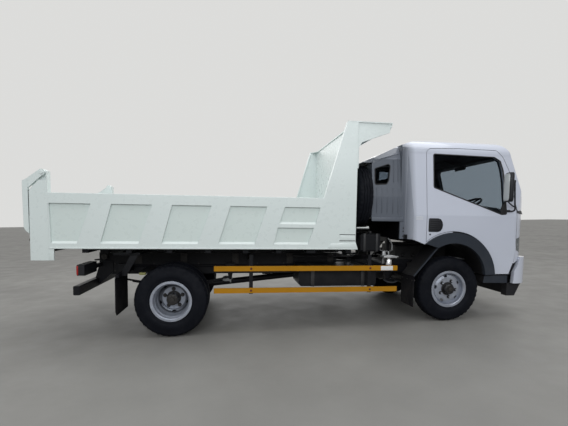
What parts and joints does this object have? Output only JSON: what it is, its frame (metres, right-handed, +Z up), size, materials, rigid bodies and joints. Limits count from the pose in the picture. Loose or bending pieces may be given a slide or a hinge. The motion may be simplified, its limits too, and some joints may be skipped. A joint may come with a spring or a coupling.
{
  "type": "dump truck",
  "caption": "Light two-axle dump truck with a white forward-control cab, hinged doors, a steel tipping bed with hinged tailgate, and amber side guards.",
  "frame": {"origin": "on the ground, under the middle of the overall box", "axes": "+X to the front of the truck, +Y to its left side, +Z up"},
  "size_m": [5.8108, 2.3448, 2.3649],
  "materials": {
    "chassis_black": "satin black paint, dusty",
    "engine_iron": "bare cast, oily",
    "guard_amber": "amber paint, worn",
    "black_rubber": "matt",
    "red_lens": "red lens",
    "tyre_rubber": "dusty rubber",
    "rim_silver": "silver paint",
    "cab_white": "gloss white paint",
    "bed_white": "satin white paint, scuffed",
    "black_plastic": "grained",
    "grey_plastic": "grained",
    "glass": "clear, faint green",
    "lamp_glass": "clear lens",
    "seat_fabric": "woven",
    "rod_chrome": "polished"
  },
  "bodies": {
    "chassis": {"frame_rails": "chassis_black", "cross_members": "chassis_black", "tipper_subframe": "chassis_black", "rear_axle": "chassis_black", "front_axle_beam": "chassis_black", "leaf_springs": "chassis_black", "engine_and_gearbox": "engine_iron", "propeller_shaft": "chassis_black", "fuel_tank": "chassis_black", "battery_and_air_tank": "chassis_black", "hydraulic_tank": "chassis_black", "exhaust_silencer": "engine_iron", "side_guard_rails": "guard_amber", "side_guard_posts": "chassis_black", "rear_mudflaps": "black_rubber", "rear_underrun_bar": "chassis_black", "tail_lamps": "red_lens", "spare_tyre": "tyre_rubber", "spare_rim": "rim_silver", "spare_carrier": "chassis_black"},
    "cab": {"front_bumper": "cab_white", "front_valance": "black_plastic", "cab_roof": "cab_white", "cab_back": "cab_white", "cab_sides": "cab_white", "cab_front_panel": "cab_white", "cab_glass": "glass", "cab_floor": "chassis_black", "wheel_arches": "black_plastic", "headlamps": "lamp_glass", "seat_base": "black_plastic", "driver_seat": "seat_fabric", "passenger_seat": "seat_fabric", "dashboard": "grey_plastic", "steering_wheel": "black_plastic"},
    "door_right": {"door_right": "cab_white", "door_glass_right": "glass", "mirror_right": "black_plastic"},
    "door_left": {"door_left": "cab_white", "door_glass_left": "glass", "mirror_left": "black_plastic"},
    "bed": {"bed_floor": "bed_white", "bed_sides": "bed_white", "bed_headboard": "bed_white", "bed_rear_posts": "bed_white", "bed_bearers": "chassis_black"},
    "tailgate": {"tailgate": "bed_white"},
    "hoist_cylinder": {"hoist_cylinder": "chassis_black"},
    "hoist_rod": {"hoist_rod": "rod_chrome"},
    "knuckle_right": {"knuckle_right": "chassis_black"},
    "knuckle_left": {"knuckle_left": "chassis_black"},
    "tie_rod": {"tie_rod": "chassis_black"},
    "front_wheel_right": {"front_tyre_right": "tyre_rubber", "front_rim_right": "rim_silver"},
    "front_wheel_left": {"front_tyre_left": "tyre_rubber", "front_rim_left": "rim_silver"},
    "rear_wheels_right": {"rear_tyres_right": "tyre_rubber", "rear_rims_right": "rim_silver"},
    "rear_wheels_left": {"rear_tyres_left": "tyre_rubber", "rear_rims_left": "rim_silver"}
  },
  "joints": [
    {"name": "cab_tilt", "type": "hinge", "parent": "chassis", "child": "cab", "pos_m": [2.52553, 0, 0.59466], "axis": [0, 1, 0], "range_deg": [0, 45]},
    {"name": "door_right_swing", "type": "hinge", "parent": "cab", "child": "door_right", "pos_m": [2.67719, -0.944, 1.1909], "axis": [0.0262, 0, 0.9997], "range_deg": [0, 70]},
    {"name": "door_left_swing", "type": "hinge", "parent": "cab", "child": "door_left", "pos_m": [2.67719, 0.944, 1.1909], "axis": [-0.0262, 0, -0.9997], "range_deg": [0, 70]},
    {"name": "bed_tilt", "type": "hinge", "parent": "chassis", "child": "bed", "pos_m": [-2.35734, 0, 0.85457], "axis": [0, -1, 0], "range_deg": [0, 48]},
    {"name": "tailgate_swing", "type": "hinge", "parent": "bed", "child": "tailgate", "pos_m": [-2.71197, 0, 1.79018], "axis": [0, 1, 0], "range_deg": [0, 78]},
    {"name": "hoist_tilt", "type": "hinge", "parent": "chassis", "child": "hoist_cylinder", "pos_m": [-1.14348, 0, 0.68074], "axis": [0, -1, 0], "range_deg": [0, 72.5]},
    {"name": "hoist_extend", "type": "slide", "parent": "hoist_cylinder", "child": "hoist_rod", "axis": [0.9979, 0, 0.0652], "range_m": [0, 0.76]},
    {"name": "steer_right", "type": "hinge", "parent": "chassis", "child": "knuckle_right", "pos_m": [1.799, -0.69, 0.398], "axis": [0, 0, 1], "range_deg": [-35, 35]},
    {"name": "steer_left", "type": "hinge", "parent": "chassis", "child": "knuckle_left", "pos_m": [1.799, 0.69, 0.398], "axis": [0, 0, 1], "range_deg": [-35, 35]},
    {"name": "tie_rod_shift", "type": "slide", "parent": "chassis", "child": "tie_rod", "axis": [0, 1, 0], "range_m": [-0.092, 0.092]},
    {"name": "front_spin_right", "type": "hinge", "parent": "knuckle_right", "child": "front_wheel_right", "pos_m": [1.799, -0.83, 0.398], "axis": [0, 1, 0], "continuous": true},
    {"name": "front_spin_left", "type": "hinge", "parent": "knuckle_left", "child": "front_wheel_left", "pos_m": [1.799, 0.83, 0.398], "axis": [0, 1, 0], "continuous": true},
    {"name": "rear_spin_right", "type": "hinge", "parent": "chassis", "child": "rear_wheels_right", "pos_m": [-1.501, -0.767, 0.398], "axis": [0, 1, 0], "continuous": true},
    {"name": "rear_spin_left", "type": "hinge", "parent": "chassis", "child": "rear_wheels_left", "pos_m": [-1.501, 0.767, 0.398], "axis": [0, 1, 0], "continuous": true}
  ],
  "couplings": [
    {"joint": "hoist_tilt", "follows": "bed_tilt", "ratio": 1.5063},
    {"joint": "hoist_extend", "follows": "bed_tilt", "m_per_rad": 0.90575},
    {"joint": "steer_left", "follows": "steer_right", "ratio": 1},
    {"joint": "tie_rod_shift", "follows": "steer_right", "m_per_rad": -0.15}
  ]
}
